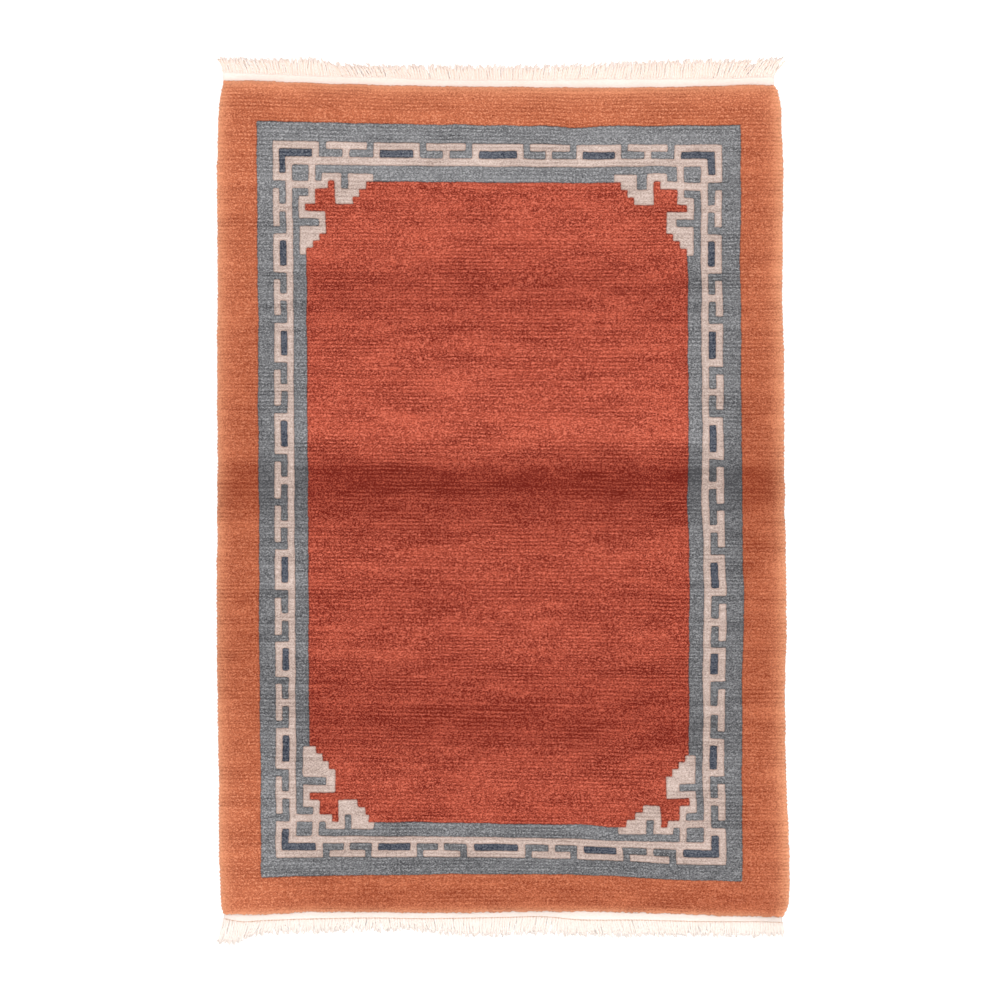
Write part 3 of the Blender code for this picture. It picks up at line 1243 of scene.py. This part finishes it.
def strand_point(strand, ply, around, ring, fringe, direction):
    """A point on one of a strand's two plies, which part near its tip."""
    t = min(max(ring - 1, 0) / (STRAND_RINGS - 3), 1.0)
    side = direction * 20.0
    sway = 2.2 * noise.noise(Vector((strand.x / 9, t * 1.4 + side, 1.0)))
    sway += strand.curl * noise.noise(Vector((strand.phase * 9.7, t * 2.6 + side, 4.0)))
    x = strand.x + strand.lean * (0.65 * t + 0.35 * t * t) + sway * t
    y = strand.y + direction * strand.length * (t - 0.004 * abs(strand.lean) * t * t)
    z = strand.height + 0.35 * math.sin(math.pi * min(t * 1.4, 1.0))
    z -= (strand.height - TIP_HEIGHT) * t * t

    apart = max(t - PLIES_PART, 0.0) / (1.0 - PLIES_PART)
    turn = math.tau * t * strand.length * MM / fringe.turn + math.pi * ply + strand.phase
    offset = fringe.ply_offset / MM * (1.0 + 1.1 * apart)
    radius = fringe.ply_radius / MM * (1.0 - 0.55 * apart)
    if ring in (0, STRAND_RINGS - 1):
        radius = 0.0
    x += offset * math.cos(turn) + radius * math.cos(around)
    z += (offset * 0.6 * math.sin(turn)) * (1.0 - 0.5 * apart) + radius * math.sin(around)
    return (x * MM, y * MM, max(z, OFF_FLOOR) * MM)


def close_tubes(bm):
    """Join each tube along its seam and at its two ends, and turn its faces out."""
    bmesh.ops.remove_doubles(bm, verts=bm.verts, dist=0.000001)
    bmesh.ops.recalc_face_normals(bm, faces=bm.faces)


class RUG_OT_fringes(bpy.types.Operator):
    """Twine the outer edges of the webs and hang the strands from them"""

    bl_idname = "rug.fringes"
    bl_label = "Fringes"

    def execute(self, context):
        fringe = context.scene.rug_fringe
        colours = context.scene.rug_colours
        strand_cotton = {
            "head": cotton("head_strand_cotton", colours.cotton, 0.0012, 0.004, True),
            "foot": cotton("foot_strand_cotton", colours.pale_cotton, 0.0012, 0.004, True),
        }
        edge_cotton = {
            "head": cotton("cotton_edge", colours.cotton, 0.002, 0.001),
            # The foot's twined edge carries the painted shade of the groove between web and fringe.
            "foot": cotton("cotton_seam", colours.seam, 0.003, 0.001),
        }
        for end, line in ENDS.items():
            strands = strands_of(end, fringe.strands, random.Random(SEED + 5))

            def place(around, tube, ring):
                strand = strands[tube // 2]
                return strand_point(strand, tube % 2, around, ring, fringe, line.direction)

            bm = bmesh.new()
            lower = bm.verts.layers.float.new("lower")
            tubes(bm, TUBE_SIDES, STRAND_RINGS, 2 * len(strands), place)
            for vert in bm.verts:
                tube = vert.index // (TUBE_SIDES + 1) // STRAND_RINGS
                # The strands of the lower layers take their painted shade.
                vert[lower] = 0.0 if tube // 2 < fringe.strands else LOWER_SHADE[end]
            close_tubes(bm)
            piece = make_piece(bm, end + "_strands", strand_cotton[end])
            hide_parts(end + "_fringe")

            bm = bmesh.new()
            twined_edge(bm, line, TWINES[end], fringe.twining)
            close_tubes(bm)
            piece = make_piece(bm, end + "_twined_edge", edge_cotton[end])
        return {"FINISHED"}


def soft_light(name, across, along, power):
    """A broad lamp beside the rug, aimed at its middle."""
    place = Vector((across, along, LIGHT_HEIGHT))
    lamp = bpy.data.lights.new(name, "AREA")
    lamp.energy = power
    lamp.size = LIGHT_SIZE
    light = add_object(name, lamp)
    light.location = place
    light.rotation_euler = (-place).to_track_quat("-Z", "Y").to_euler()


class RUG_OT_stage(bpy.types.Operator):
    """Set the floor, the soft lights and the camera straight above"""

    bl_idname = "rug.stage"
    bl_label = "Stage"

    def execute(self, context):
        stage = context.scene.rug_stage

        bm = bmesh.new()
        bmesh.ops.create_grid(bm, x_segments=8, y_segments=8, size=FLOOR_REACH)
        floor = mesh_object(bm, "floor", floor_finish())

        soft_light("head_light", 0.0, END_LIGHTS, stage.head_light)
        soft_light("foot_light", 0.0, -END_LIGHTS, stage.side_light)
        soft_light("left_light", -SIDE_LIGHTS, 0.0, stage.side_light)
        soft_light("right_light", SIDE_LIGHTS, 0.0, stage.side_light)

        world = bpy.data.worlds.new("soft_sky")
        world.use_nodes = True
        sky = world.node_tree.nodes["Background"]
        sky.inputs["Color"].default_value = (1.0, 1.0, 1.0, 1.0)
        sky.inputs["Strength"].default_value = stage.sky
        context.scene.world = world

        camera_data = bpy.data.cameras.new("camera")
        camera_data.lens = stage.lens
        distance = stage.view_width * stage.lens / camera_data.sensor_width
        camera = add_object("camera", camera_data)
        camera.location = (*PICTURE_MIDDLE, context.scene.rug_sizes.pile_height + distance)
        context.scene.camera = camera
        context.scene.view_settings.view_transform = "Standard"
        return {"FINISHED"}


class RUG_PT_panel(bpy.types.Panel):
    """Sizes, colours and steps of the rug"""

    bl_idname = "RUG_PT_panel"
    bl_label = "Knotted Rug"
    bl_space_type = "VIEW_3D"
    bl_region_type = "UI"
    bl_category = "Rug"

    def draw(self, context):
        layout = self.layout
        for name in GROUPS:
            group = getattr(context.scene, name)
            box = layout.box()
            for setting in group.__annotations__:
                box.prop(group, setting)
        for operator in OPERATORS:
            layout.operator(operator.bl_idname)


OPERATORS = (
    RUG_OT_ground_cloth,
    RUG_OT_pile,
    RUG_OT_webs,
    RUG_OT_fringes,
    RUG_OT_stage,
)
GROUPS = {
    "rug_sizes": RugSizes,
    "rug_colours": YarnColours,
    "rug_fringe": FringeSizes,
    "rug_stage": StageSettings,
}
CLASSES = (*GROUPS.values(), *OPERATORS, RUG_PT_panel)


def register():
    """Make the classes and their settings known to Blender."""
    for cls in CLASSES:
        bpy.utils.register_class(cls)
    for name, group in GROUPS.items():
        setattr(bpy.types.Scene, name, bpy.props.PointerProperty(type=group))


def unregister():
    """Take the classes and their settings out again."""
    for name in GROUPS:
        delattr(bpy.types.Scene, name)
    for cls in reversed(CLASSES):
        bpy.utils.unregister_class(cls)


def main():
    register()
    bpy.ops.rug.ground_cloth()
    bpy.ops.rug.pile()
    bpy.ops.rug.webs()
    bpy.ops.rug.fringes()
    bpy.ops.rug.stage()
    on_it = ["pile_" + name for name in YARNS]
    on_it += [end + part for end in ENDS for part in ("_web", "_strands", "_twined_edge")]


if __name__ == "__main__":
    main()
